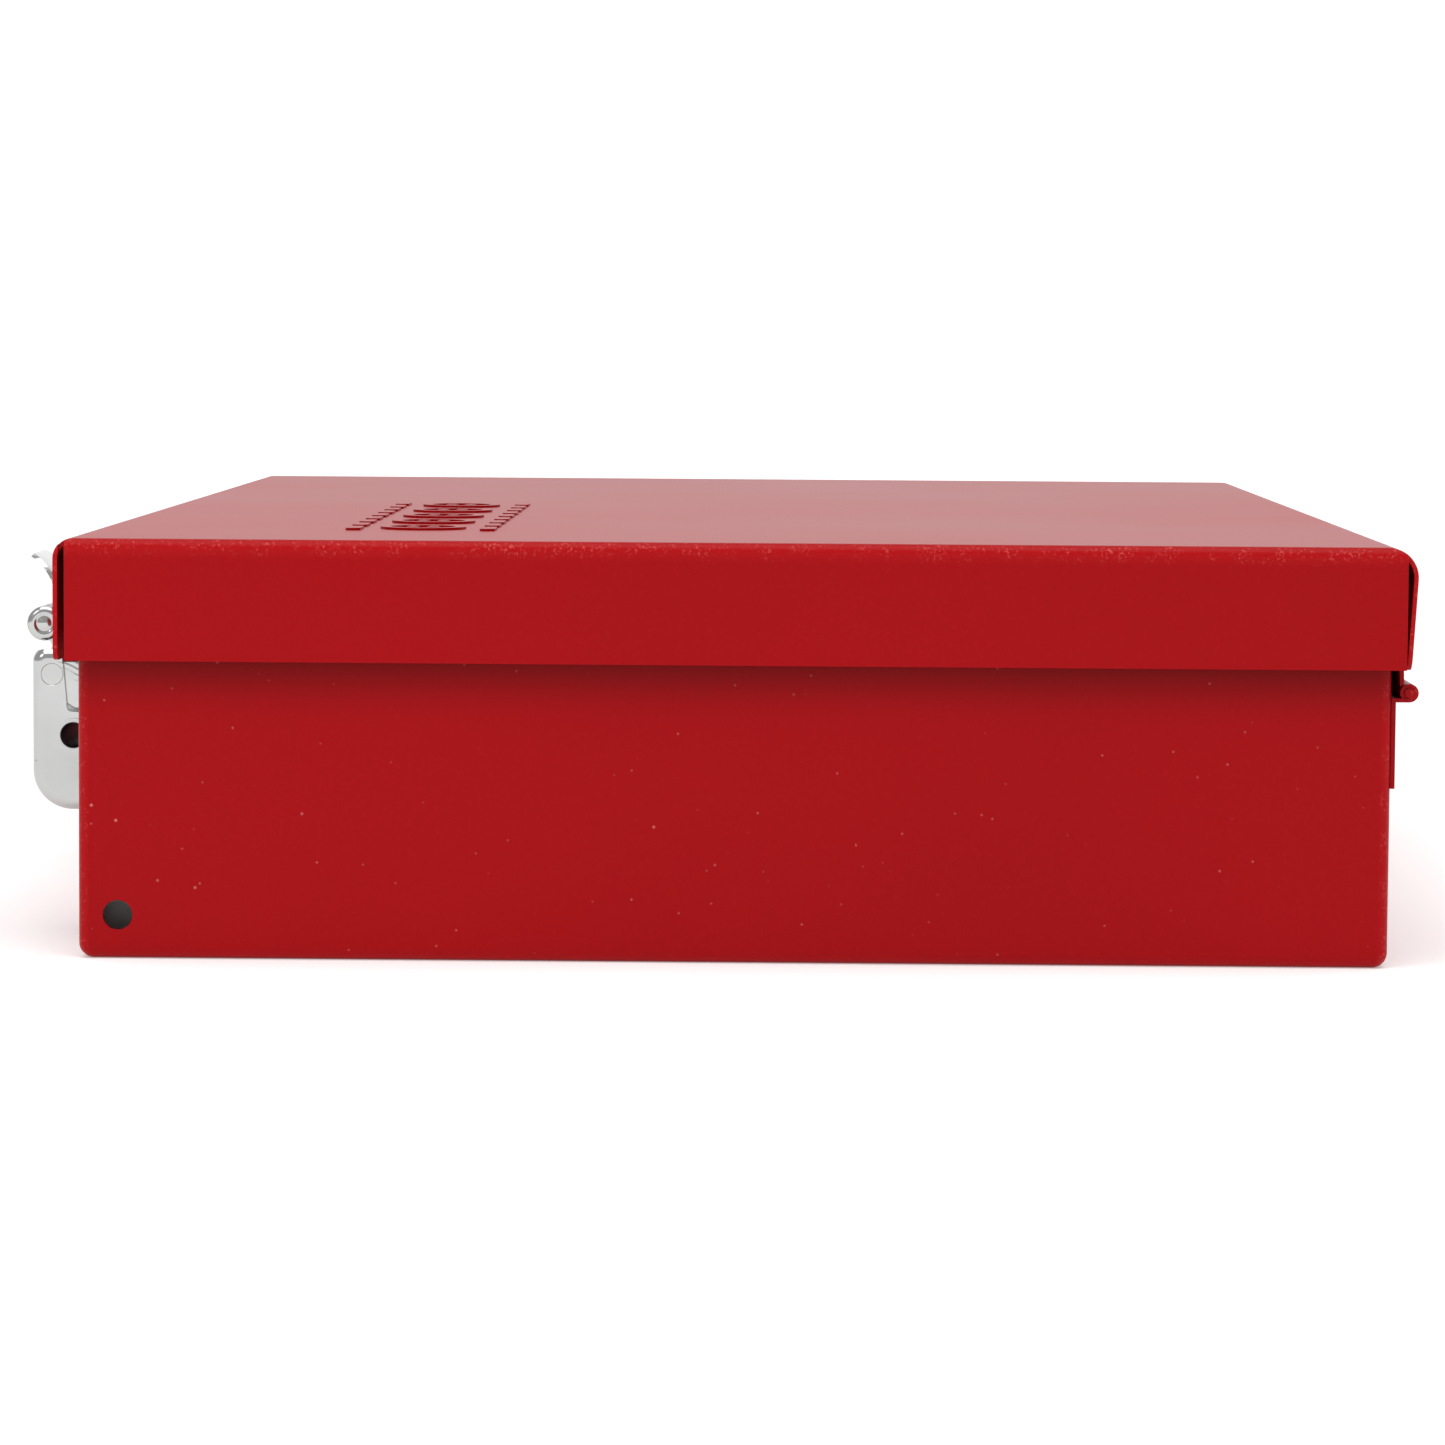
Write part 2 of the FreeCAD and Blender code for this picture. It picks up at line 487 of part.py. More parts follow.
def latch(xc, side):
    x0, x1 = xc - half_w, xc + half_w
    # base: plate with two ears
    plate_z0 = PIVOT_Z - 6.9
    ear_r = PIVOT_INSET - LATCH_SHEET - EAR_GAP
    ear_pts = [(0, plate_z0), (4.4, plate_z0), (PIVOT_OUT + ear_r, PIVOT_Z - ear_r),
               (PIVOT_OUT + ear_r, PIVOT_Z + ear_r), (0, PIVOT_Z + ear_r)]
    ears = side_prism(ear_pts, [0, 1.5, ear_r - 0.05, ear_r - 0.05, 0], xc - ear_out, xc + ear_out)
    gap = side_prism([(LATCH_SHEET, 40), (30, 40), (30, 70), (LATCH_SHEET, 70)], [0.6, 0, 0, 0.6], xc - ear_in,
                     xc + ear_in)
    base = ears.cut(gap)
    for rx in (xc - 7.5, xc + 7.5):
        base = base.cut(rod_y(RIVET_R, FRONT_Y - 3, FRONT_Y + 1, rx, BASE_RIVET_Z))
    base = base.cut(rod_x(PIVOT_R, x0, x1, FRONT_Y - PIVOT_OUT, PIVOT_Z))
    save(side + "_latch_base", base.removeSplitter())
    # lever: drawn cover with side flanges, open between its upper arms
    inner_edge = EYELET_OUT - 4.0
    arm_edge = PIVOT_OUT - 1.8
    pts = [(inner_edge, LEVER_BOTTOM_Z - 1), (LEVER_OUT + 1, LEVER_BOTTOM_Z - 1), (LEVER_OUT + 1, LEVER_TOP_Z + 1),
           (arm_edge, LEVER_TOP_Z + 1), (EYELET_OUT + 1.3, EYELET_Z + 4.9), (inner_edge, EYELET_Z + 4.5)]
    outline = side_prism(pts, [1.0, 0, 0, 0, 1.0, 2.5], x0, x1)
    pts = [(-6, LEVER_BOTTOM_Z), (LEVER_OUT, LEVER_BOTTOM_Z), (LEVER_OUT, LEVER_TOP_Z), (-6, LEVER_TOP_Z)]
    shell = side_prism(pts, [0, LEVER_BOTTOM_R, LEVER_TOP_R, 0], x0, x1)
    t = LATCH_SHEET
    ipts = [(-5, LEVER_BOTTOM_Z + t), (LEVER_OUT - t, LEVER_BOTTOM_Z + t), (LEVER_OUT - t, 75), (-5, 75)]
    cavity = side_prism(ipts, [0, LEVER_BOTTOM_R - t, 0, 0], xc - flange_in, xc + flange_in)
    rim = [e for e in shell.Edges if e.BoundBox.XLength < 1e-6 and e.BoundBox.YMin < FRONT_Y - 1]
    try:
        shell = shell.makeFillet(LEVER_EDGE_R, rim).common(outline)
    except Exception as err:
        print("lever edge left square:", err)
    try:
        c_rim = [e for e in cavity.Edges if e.BoundBox.XLength < 1e-6 and e.BoundBox.YMin < FRONT_Y - 6.5
                 and e.BoundBox.ZMin < 70]
        cavity = cavity.makeFillet(LEVER_EDGE_R - t, c_rim)
    except Exception as err:
        print("lever inside left square:", err)
    lever = shell.cut(cavity)
    w = link_half + 0.7
    notch = front_prism([(xc - w, LEVER_WEB_TOP_Z), (xc + w, LEVER_WEB_TOP_Z), (xc + w, 75), (xc - w, 75)],
                        [1.8, 1.8, 0, 0], LEVER_OUT - 3, LEVER_OUT + 2)
    lever = lever.cut(notch)
    lever = lever.cut(rod_x(PIVOT_R + 0.05, x0 - 1, x1 + 1, FRONT_Y - PIVOT_OUT, PIVOT_Z))
    for s in (-1, 1):
        sink = V(xc + s * (half_w - sink_depth), FRONT_Y - PIVOT_OUT, PIVOT_Z)
        lever = lever.cut(Part.makeCone(PIVOT_R + 0.05, PIVOT_HEAD_R + 0.1, sink_depth, sink, V(s, 0, 0)))
    lever = lever.cut(rod_x(EYELET_R, x0 - 1, x1 + 1, FRONT_Y - EYELET_OUT, EYELET_Z))
    save(side + "_latch_lever", lever.removeSplitter())
    # pivot rivets, one through each ear
    rivets = []
    for s in (-1, 1):
        xa = sorted((xc + s * ear_in, xc + s * (half_w - sink_depth + 0.05)))
        shank = rod_x(PIVOT_R, xa[0], xa[1], FRONT_Y - PIVOT_OUT, PIVOT_Z)
        sink = V(xc + s * (half_w - sink_depth + 0.05), FRONT_Y - PIVOT_OUT, PIVOT_Z)
        head = Part.makeCone(PIVOT_R, PIVOT_HEAD_R, sink_depth - 0.1, sink, V(s, 0, 0))
        xt = sorted((xc + s * (ear_in - 0.4), xc + s * ear_in))
        tail = rod_x(2.1, xt[0], xt[1], FRONT_Y - PIVOT_OUT, PIVOT_Z)
        rivets.append(shank.fuse(head).fuse(tail).removeSplitter())
    save(side + "_latch_pivot_rivets", rivets)
    # hollow rivet that carries the link
    tube = rod_x(EYELET_R, x0 - 0.3, x1 + 0.3, FRONT_Y - EYELET_OUT, EYELET_Z)
    for a, b in ((x0 - 0.4, x0), (x1, x1 + 0.4)):
        tube = tube.fuse(rod_x(EYELET_R + 0.6, a, b, FRONT_Y - EYELET_OUT, EYELET_Z))
    tube = tube.cut(rod_x(EYELET_BORE_R, x0 - 1, x1 + 1, FRONT_Y - EYELET_OUT, EYELET_Z))
    tube = tube.removeSplitter()
    save(side + "_latch_link_pin", tube)
    # link: knuckle, plate, hooked bead and thumb tab from one strip
    start_deg = link_heading + 90.0 - 300.0 + 360.0
    sp = arc_point((EYELET_OUT, EYELET_Z), link_ring_r, start_deg + 240.0)
    path = SheetPath(sp[0], sp[1], start_deg + 240.0 - 90.0)
    path.bend(link_ring_r, -300.0)
    path.run(link_run)
    path.bend(fold_r, -(path.h - ring_heading - 360.0 * round((path.h - ring_heading) / 360.0)))
    path.bend(BEAD_R, 95.0)
    path.bend(BEAD_R, 435.0 - ring_start - 95.0)
    dx_fold = fold_r * (math.sin(math.radians(165.0)) - 1.0)
    path.run((path.x + dx_fold - tab_out) / math.cos(math.radians(15.0)))
    path.bend(fold_r, -75.0)
    path.run(0.5)
    path.bend(9.9, -63.0)
    strip = front_strip(path, LINK_SHEET, xc - link_half, xc + link_half)
    tip_z = path.z + 0.3
    trim = front_prism([(xc - link_half, 30), (xc + link_half, 30), (xc + link_half, tip_z), (xc - link_half, tip_z)],
                       [0, 0, 5.0, 5.0], -1, 30)
    link = strip.common(trim).removeSplitter()
    save(side + "_latch_link", link)
    # keeper on the lid skirt
    kx0, kx1 = xc - KEEPER_WIDTH / 2, xc + KEEPER_WIDTH / 2
    k_out = FRONT_SKIRT_OUT + SHEET / 2
    kp = SheetPath(k_out, keeper_top_z, -90.0)
    kp.run(keeper_top_z - (roll_z + ROLL_R) - 1.2)
    kp.bend(1.2, 90.0)
    kp.run(BEAD_OUT - kp.x)
    kp.bend(ROLL_R, -140.0)
    kp.bend(ROLL_R, -140.0)
    keeper = front_strip(kp, SHEET, kx0, kx1)
    for rx in (xc - 6.5, xc + 6.5):
        keeper = keeper.cut(rod_y(RIVET_R, FRONT_Y - 7, FRONT_Y, rx, keeper_rivet_z))
    save(side + "_keeper", keeper.removeSplitter())


latch(-LATCH_X, "left")
latch(LATCH_X, "right")
save("latch_base_rivets", [front_rivet(x, z, LATCH_SHEET, -SHEET) for x, z in latch_rivets])

# ---- bail handle ----
hy = FRONT_Y - HANDLE_OUT
arm_x = HANDLE_SPAN / 2
grip_z = HANDLE_Z - HANDLE_DROP
end_x = handle_bracket_x - 8.0
pts = [V(-end_x, hy, HANDLE_Z), V(-arm_x, hy, HANDLE_Z), V(-arm_x, hy, grip_z), V(arm_x, hy, grip_z),
       V(arm_x, hy, HANDLE_Z), V(end_x, hy, HANDLE_Z)]
radii = [0, 4.5, HANDLE_BEND_R, HANDLE_BEND_R, 4.5, 0]
edges = []
cur = pts[0]
for i in range(1, 5):
    p, r = pts[i], radii[i]
    ua, ub = (pts[i - 1] - p).normalize(), (pts[i + 1] - p).normalize()
    s, e = p + ua * r, p + ub * r
    c = p + (ua + ub) * r
    m = c - (ua + ub).normalize() * r
    edges.append(Part.LineSegment(cur, s).toShape())
    edges.append(Part.Arc(s, m, e).toShape())
    cur = e
edges.append(Part.LineSegment(cur, pts[5]).toShape())
spine = Part.Wire(edges)
ring = Part.Wire(Part.makeCircle(HANDLE_ROD_R, pts[0], V(-1, 0, 0)))
bail = spine.makePipeShell([ring], True, False)
for s in (-1, 1):
    xa = sorted((s * end_x, s * (end_x - 1.4)))
    bail = bail.fuse(rod_x(HANDLE_ROD_R + 1.0, xa[0], xa[1], hy, HANDLE_Z))
save("handle_bail", bail.removeSplitter())

# Grip: a moulded sleeve with shallow finger waves.
g = GRIP_LENGTH / 2
prof = [V(-g, 0, HANDLE_ROD_R), V(-g, 0, GRIP_R - 1.6)]
wave = []
n_wave = 33
for i in range(n_wave):
    u = -g + 1.2 + (2 * g - 2.4) * i / (n_wave - 1)
    wave.append(V(u, 0, GRIP_R - 0.35 + 0.35 * math.cos(8 * math.pi * (u + g) / (2 * g))))
crest = Part.BSplineCurve()
crest.interpolate(wave)
shapes = [Part.LineSegment(prof[0], prof[1]).toShape(), Part.LineSegment(prof[1], wave[0]).toShape(), crest.toShape(),
          Part.LineSegment(wave[-1], V(g, 0, GRIP_R - 1.6)).toShape(),
          Part.LineSegment(V(g, 0, GRIP_R - 1.6), V(g, 0, HANDLE_ROD_R)).toShape(),
          Part.LineSegment(V(g, 0, HANDLE_ROD_R), prof[0]).toShape()]
grip = Part.Face(Part.Wire(shapes)).revolve(V(0, 0, 0), V(1, 0, 0), 360)
grip.translate(V(0, hy, grip_z))
save("handle_grip", grip)

# Brackets: flat plate with two ears round each end of the bail.
for name, s in (("left_handle_bracket", -1), ("right_handle_bracket", 1)):
    xc = s * handle_bracket_x
    plate = front_prism([(xc - 9, HANDLE_Z - 12), (xc + 9, HANDLE_Z - 12), (xc + 9, HANDLE_Z + 11),
                         (xc - 9, HANDLE_Z + 11)], [2.5] * 4, 0, 1.2)
    b = plate
    ear = [(0, HANDLE_Z - 5.5), (HANDLE_OUT + 4.8, HANDLE_Z - 5.0), (HANDLE_OUT + 4.8, HANDLE_Z + 5.0),
           (0, HANDLE_Z + 5.5)]
    for xe in (xc - 6.5, xc + 5.0):
        b = b.fuse(side_prism(ear, [0, 4.6, 4.6, 0], xe, xe + 1.5))
    b = b.cut(rod_x(HANDLE_ROD_R + 0.08, xc - 12, xc + 12, hy, HANDLE_Z))
    for dz in (-BRACKET_RIVET_DZ, BRACKET_RIVET_DZ):
        b = b.cut(rod_y(RIVET_R, FRONT_Y - 3, FRONT_Y + 1, xc, HANDLE_Z + dz))
    save(name, b.removeSplitter())
save("handle_rivets", [front_rivet(x, z, 1.2, -SHEET) for x, z in handle_rivets])

# ---- trays ----
till_x = INNER_X - TILL_SIDE_GAP
till_y0 = -INNER_Y + HEM_EXTRA + TRAY_GAP
till_y1 = till_y0 + TILL_DEPTH
till_z0 = RUNNER_Z + TRAY_SEAT_GAP
till_z1 = till_z0 + TILL_HEIGHT
save("till_pan", pan(-till_x, till_x, till_y0, till_y1, till_z0, till_z1, TRAY_SHEET, 3.0, 1.8))
long_y = till_y0 + TRAY_SHEET + TILL_LONG_BAY
plate_top = till_z1 - 2.5
long_div = box(-till_x + TRAY_SHEET, till_x - TRAY_SHEET, long_y, long_y + TRAY_SHEET, till_z0 + TRAY_SHEET + 1.0,
               plate_top)
save("till_long_divider", long_div)


def cross_plates(n, x_half, y0, y1, z0, z1):
    bay = (2 * x_half - n * TRAY_SHEET) / (n + 1)
    out = []
    for i in range(n):
        x0 = -x_half + (i + 1) * bay + i * TRAY_SHEET
        plate = box(x0, x0 + TRAY_SHEET, y0, y1, z0, z1)
        # finger scoop in the top edge
        scoop = Part.makeCylinder(14.0, 4.0, V(x0 - 1, (y0 + y1) / 2, z1 + 8.0), V(1, 0, 0))
        out.append(plate.cut(scoop))
    return out


save("till_cross_dividers", cross_plates(TILL_CROSS_PLATES, till_x - TRAY_SHEET, long_y + TRAY_SHEET,
                                         till_y1 - TRAY_SHEET, till_z0 + TRAY_SHEET + 1.0, plate_top))

# ---- lift-out trays under the till ----
tray_x = INNER_X - RUNNER_WIDTH - 1.3
tray_z0 = SHEET + TRAY_SEAT_GAP
tray_z1 = tray_z0 + TRAY_HEIGHT
mid = TRAY_GAP / 2
spans = {"front_tray": (-INNER_Y + TRAY_WALL_GAP, -mid, FRONT_TRAY_PLATES),
         "rear_tray": (mid, INNER_Y - TRAY_WALL_GAP, REAR_TRAY_PLATES)}
for name, (y0, y1, n) in spans.items():
    tray = pan(-tray_x, tray_x, y0, y1, tray_z0, tray_z1, TRAY_SHEET, 3.0, 1.8)
    for sx in (-1, 1):
        # finger hole in each end wall
        slot = box(sx * tray_x - 3, sx * tray_x + 3, (y0 + y1) / 2 - 14, (y0 + y1) / 2 + 14, tray_z1 - 17,
                   tray_z1 - 7)
        along = [e for e in slot.Edges if e.BoundBox.XLength > 5.9]
        tray = tray.cut(slot.makeFillet(4.6, along))
    save(name, tray)
    save(name + "_dividers", cross_plates(n, tray_x - TRAY_SHEET, y0 + TRAY_SHEET, y1 - TRAY_SHEET,
                                          tray_z0 + TRAY_SHEET + 1.0, tray_z1 - 2.5))
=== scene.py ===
# %% [markdown]
# # A steel sewing box with a skirted lid
# This file gives those pieces their finishes, adds the small surface detail that a press and a paint
# line leave behind, paints a highlight along the bends, a shadow below the lid's skirt and a dark bore in the
# link pin, and sets up a quiet product view from the short end of the box.

import math

import bmesh
import bpy
from mathutils import Matrix, Vector


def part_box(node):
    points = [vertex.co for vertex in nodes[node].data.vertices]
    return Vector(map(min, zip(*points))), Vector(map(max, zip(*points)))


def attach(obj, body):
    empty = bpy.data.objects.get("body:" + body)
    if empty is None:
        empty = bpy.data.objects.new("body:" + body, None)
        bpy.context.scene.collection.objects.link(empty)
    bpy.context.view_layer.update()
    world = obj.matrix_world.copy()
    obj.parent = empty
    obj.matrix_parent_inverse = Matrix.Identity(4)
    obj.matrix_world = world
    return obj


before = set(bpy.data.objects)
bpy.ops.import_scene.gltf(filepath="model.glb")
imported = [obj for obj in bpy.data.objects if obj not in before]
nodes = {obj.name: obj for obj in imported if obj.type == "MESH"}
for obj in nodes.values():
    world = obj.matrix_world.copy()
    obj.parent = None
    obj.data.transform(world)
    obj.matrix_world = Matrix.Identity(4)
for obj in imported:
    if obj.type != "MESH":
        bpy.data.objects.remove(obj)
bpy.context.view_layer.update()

# %% [markdown]
# ## Shader maths as Python
# A material is a small calculation. Wrapping each socket in a class lets the calculation read like one:
# `base + speck * 0.5` adds the Math nodes by itself, and any other node comes from a single method.

# %% A socket that does arithmetic
def feed(tree, slot, value):
    """Link a socket into a slot, or write a plain value there."""
    if isinstance(value, Wave):
        tree.links.new(value.socket, slot)
    else:
        slot.default_value = value


class Wave:
    """One socket of a node tree; arithmetic on it adds Math nodes."""

    def __init__(self, tree, socket):
        self.tree, self.socket = tree, socket

    def math(self, operation, *values, clamp=False):
        node = self.tree.nodes.new("ShaderNodeMath")
        node.operation, node.use_clamp = operation, clamp
        for slot, value in zip(node.inputs, (self,) + values):
            feed(self.tree, slot, value)
        return Wave(self.tree, node.outputs[0])

    def __add__(self, other):
        return self.math("ADD", other)

    def __sub__(self, other):
        return self.math("SUBTRACT", other)

    def __mul__(self, other):
        return self.math("MULTIPLY", other)

    def __rsub__(self, other):
        return (self * -1.0) + other

    __radd__, __rmul__ = __add__, __mul__

    def clamp(self):
        return self.math("ADD", 0.0, clamp=True)

    def over(self, low, high):
        """0 below low, 1 above high, straight between."""
        return ((self - low) * (1.0 / (high - low))).clamp()


class Bench:
    """A node tree, with a method that adds any node."""

    def __init__(self, tree):
        self.tree = tree

    def node(self, kind, output=0, settings=None, **values):
        node = self.tree.nodes.new(kind)
        for key, value in (settings or {}).items():
            setattr(node, key, value)
        for key, value in values.items():
            feed(self.tree, node.inputs[key.replace("_", " ")], value)
        return Wave(self.tree, node.outputs[output])

    def axes(self):
        """The three Object coordinates as sockets."""
        parts = self.node("ShaderNodeSeparateXYZ", "X", Vector=self.place).socket.node
        return tuple(Wave(self.tree, parts.outputs[k]) for k in "XYZ")

    def noise(self, scale, detail=2.0, roughness=0.5, vector=None):
        return self.node("ShaderNodeTexNoise", "Fac", Vector=vector or self.place,
                         Scale=scale, Detail=detail, Roughness=roughness)

    def mix(self, factor, a, b):
        """Colour a where factor is 0, b where it is 1."""
        node = self.tree.nodes.new("ShaderNodeMix")
        node.data_type = "RGBA"
        for slot, value in ((node.inputs[0], factor), (node.inputs[6], a), (node.inputs[7], b)):
            feed(self.tree, slot, value)
        return Wave(self.tree, node.outputs[2])

    def specks(self, cells, size, chosen):
        """Round points in cells; size = where a point ends, chosen = which share of the cells has one."""
        away = self.node("ShaderNodeTexVoronoi", "Distance", Vector=self.place, Scale=cells, Randomness=1.0)
        pick = self.node("ShaderNodeTexVoronoi", "Color", Vector=self.place, Scale=cells, Randomness=1.0)
        share = self.node("ShaderNodeSeparateColor", "Red", Color=pick).over(*chosen)
        return (1.0 - away.over(*size)) * share

    def stretched(self, x, y, z):
        return self.node("ShaderNodeMapping", Vector=self.place, Scale=(x, y, z))

    def bump(self, height, distance, strength):
        return self.node("ShaderNodeBump", Height=height, Distance=distance, Strength=strength)


class Finish(Bench):
    """One material: its shader, its Object coordinates and the helpers of a bench."""

    def __init__(self, name):
        self.material = bpy.data.materials.new(name)
        self.material.use_nodes = True
        super().__init__(self.material.node_tree)
        self.tree.nodes.clear()
        self.shader = self.tree.nodes.new("ShaderNodeBsdfPrincipled")
        out = self.tree.nodes.new("ShaderNodeOutputMaterial")
        self.tree.links.new(self.shader.outputs[0], out.inputs["Surface"])
        self.place = self.node("ShaderNodeTexCoord", "Object")

    def set(self, **values):
        for key, value in values.items():
            feed(self.tree, self.shader.inputs[key.replace("_", " ")], value)


def srgb(r, g, b):
    """Screen colour 0-255 as the linear colour a shader wants."""
    def one(c):
        c /= 255.0
        return c / 12.92 if c <= 0.04045 else ((c + 0.055) / 1.055) ** 2.4
    return (one(r), one(g), one(b), 1.0)


print("finish helper ready")

# %% [markdown]
# ## Red powder coat
# The pan, lid and hinge were sprayed together and baked. Powder flows into a faint orange-peel skin, and dust
# caught in the powder leaves sparse pale specks. Along the bends the colour is painted paler, a painted
# highlight, with tiny pale points that are partly rubbed wear and partly painted glints; on the pan a painted
# shadow darkens the band just below the lid's skirt. A renderer can find bends by itself with Pointiness, but
# the result changes with the mesh, so here the bends come from the distance to the known faces of the sheet,
# which any exporter can bake.

# %% Distances to the bends of the box
low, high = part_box("body_pan")
lid_low, lid_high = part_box("lid_shell")
EDGE = {
    "lid_top": lid_high.z - 0.0010,
    "lid_low": lid_low.z,
    "lid_x": lid_high.x,
    "lid_front": lid_low.y,
    "lid_rear": lid_high.y,
    "pan_x": high.x,
    "pan_front": low.y,
    "pan_rear": high.y,
}
print({k: round(v * 1000, 1) for k, v in EDGE.items()})


def near(value, at, reach):
    """1 on the plane value = at, 0 beyond reach."""
    return 1.0 - (value - at).math("ABSOLUTE").over(0.0, reach)


# %% [markdown]
# One function mixes the coat for all three pieces. The points along a bend and the dust could be painted by
# hand, but noise and cell patterns on the real distances stay the same size on the pan, the lid and the hinge.
# The bump is a few hundredths of a millimetre, as a baked powder skin really is.

# %% Red paint
TOP_REACH, END_REACH, SIDE_REACH = 0.0034, 0.0026, 0.0024  # how far from each bend the painted highlight and the pale points reach, m
DUST_CELLS, GRIT_CELLS = 130.0, 310.0  # cells per metre; a few cells in each hundred hold a speck
SKIRT_SHADE = 0.011  # how far below the skirt the painted shadow reaches, m


def red_paint(name, ends, top_at, shade_at=None, tint=1.0, peel=0.00004):
    """Powder coat; ends = (x, front y, rear y) of the upright bends, top_at = height of the top bend."""
    f = Finish(name)
    x, y, z = f.axes()
    x_at, front_at, rear_at = ends
    side = x.math("ABSOLUTE")
    to_end, to_top = near(side, x_at, END_REACH), near(z, top_at, TOP_REACH)
    to_front, to_rear = near(y, front_at, SIDE_REACH), near(y, rear_at, SIDE_REACH)
    rim = (to_end * to_top).math("MAXIMUM", to_front * to_top).math("MAXIMUM", to_rear * to_top)
    upright = (to_end * to_front).math("MAXIMUM", to_end * to_rear)
    bend = rim.math("MAXIMUM", upright)
    # painted highlight: the bends are painted paler, as if they caught the light, and the pale points along
    # them are partly rubbed wear, partly painted glints
    fleck = f.noise(1500.0, 2.0, 0.6)
    clump = f.noise(260.0, 2.0, 0.6)
    rubbed_and_glint = bend * (fleck.over(0.53, 0.66) * clump.over(0.42, 0.62))
    painted_bend_highlight = (bend * 1.5).clamp()
    # dust caught in the powder: sparse round points, and finer grit between them
    dust = f.specks(DUST_CELLS, (0.012, 0.055), (0.905, 0.99))
    grit = f.specks(GRIT_CELLS, (0.03, 0.10), (0.93, 1.0))
    marks = dust.math("MAXIMUM", grit * 0.5)
    cloud = f.noise(6.0, 3.0, 0.5)
    grain = f.noise(900.0, 2.0, 0.6)
    red = srgb(162 * tint, 4 * tint, 12 * tint)
    deep = srgb(154 * tint, 3 * tint, 10 * tint)
    colour = f.mix(cloud.over(0.35, 0.68), deep, red)
    colour = f.mix(grain.over(0.55, 0.75) * 0.16, colour, srgb(190, 22, 30))
    # painted highlight along the bends
    colour = f.mix(painted_bend_highlight * 0.30, colour, srgb(198, 22, 26))
    # pale points on the bends: partly rubbed wear, partly painted glints
    colour = f.mix(rubbed_and_glint * 0.55, colour, srgb(230, 112, 106))
    colour = f.mix(marks * 0.7, colour, srgb(232, 140, 138))
    if shade_at is not None:
        # painted shadow: the pan is painted darker in a band just below the lid's skirt, where the skirt's
        # shadow falls
        painted_skirt_shadow = near(z, shade_at, SKIRT_SHADE) * (1.0 - z.over(shade_at + 0.0005, shade_at + 0.001))
        colour = f.mix(painted_skirt_shadow.math("POWER", 1.5) * 0.5, colour, srgb(84, 4, 8))
    skin = f.noise(430.0, 2.0, 0.55)
    coarse = f.noise(120.0, 2.0, 0.5)
    rough = 0.36 + (cloud - 0.5) * 0.08 + rubbed_and_glint * 0.2 + marks * 0.2
    height = skin * 0.6 + coarse * 0.4 + marks * 0.5 + rubbed_and_glint * 0.5
    f.set(Base_Color=colour, Roughness=rough, Normal=f.bump(height, peel, 0.5), Metallic=0.0, IOR=1.5,
          Specular_IOR_Level=0.10)
    return f.material


lid_paint = red_paint("red_paint_lid", (EDGE["lid_x"], EDGE["lid_front"], EDGE["lid_rear"]),
                      EDGE["lid_top"])
NO_BEND = 1.0  # a height or place well off the box, for a piece that has no bend there
# the pan carries a painted shadow below the lid's skirt
pan_paint = red_paint("red_paint_pan", (EDGE["pan_x"], EDGE["pan_front"], EDGE["pan_rear"]), NO_BEND,
                      shade_at=EDGE["lid_low"])
hinge_ends = (EDGE["pan_x"] - 0.0015, EDGE["pan_rear"] + 0.0054, NO_BEND)
hinge_paint = red_paint("red_paint_hinge", hinge_ends, NO_BEND, tint=0.92, peel=0.00006)
print("paints", lid_paint.name, pan_paint.name, hinge_paint.name)

# %% [markdown]
# ## Bright nickel
# The drawbolts are pressed from thin steel and barrel-plated. Plate is bright but not a mirror: deep drawing
# leaves short ripples across the sides, the barrel leaves a cloudy satin, and there are small nicks and pits.
# The colour is nearly even, with a faint stain and dark pits; the roughness and the bump carry the story.

# %% Nickel plate
PIT_CELLS = 420.0  # cells per metre


def nickel(name, colour, rough, lines=1.0):
    f = Finish(name)
    cloud = f.noise(60.0, 4.0, 0.6)
    drawn = f.noise(300.0, 3.0, 0.6, f.stretched(0.06, 1.0, 1.0))
    pit = f.specks(PIT_CELLS, (0.04, 0.12), (0.93, 0.94))
    stain = f.noise(25.0, 2.0, 0.5).over(0.45, 0.8)
    base = f.mix(stain * 0.3, colour, srgb(168, 167, 163))
    base = f.mix(pit * 0.8, base, srgb(92, 88, 84))
    roughness = rough + cloud.over(0.3, 0.75) * 0.13 + pit * 0.3 + (drawn - 0.5) * 0.05
    _, y, z = f.axes()
    wobble = f.noise(90.0, 2.0, 0.5)
    ripple = (z * 5200.0 + y * 1500.0 + wobble * 14.0).math("SINE")
    patch = f.noise(75.0, 2.0, 0.5).over(0.50, 0.62)
    height = drawn * (0.35 * lines) + cloud * 0.5 - pit * 0.9 + ripple * patch * (0.8 * lines)
    f.set(Base_Color=base, Metallic=1.0, Roughness=roughness, Normal=f.bump(height, 0.00005, 0.55))
    return f.material


bright = nickel("nickel_bright", srgb(190, 191, 190), 0.13)
wire = nickel("nickel_wire", srgb(184, 184, 182), 0.18, 2.0)
rivet = nickel("rivet_steel", srgb(164, 164, 162), 0.28, 0.4)
print("plates", bright.name, wire.name, rivet.name)

# %% [markdown]
# ## Grey enamel and the moulded grip
# Trays are stamped, dipped in a thin grey enamel that dries with a faint hammered skin, and rubbed by whatever
# is kept in them, so they carry fine scuffs both ways. The grip is moulded plastic: a matte spark-eroded skin,
# with no gloss.

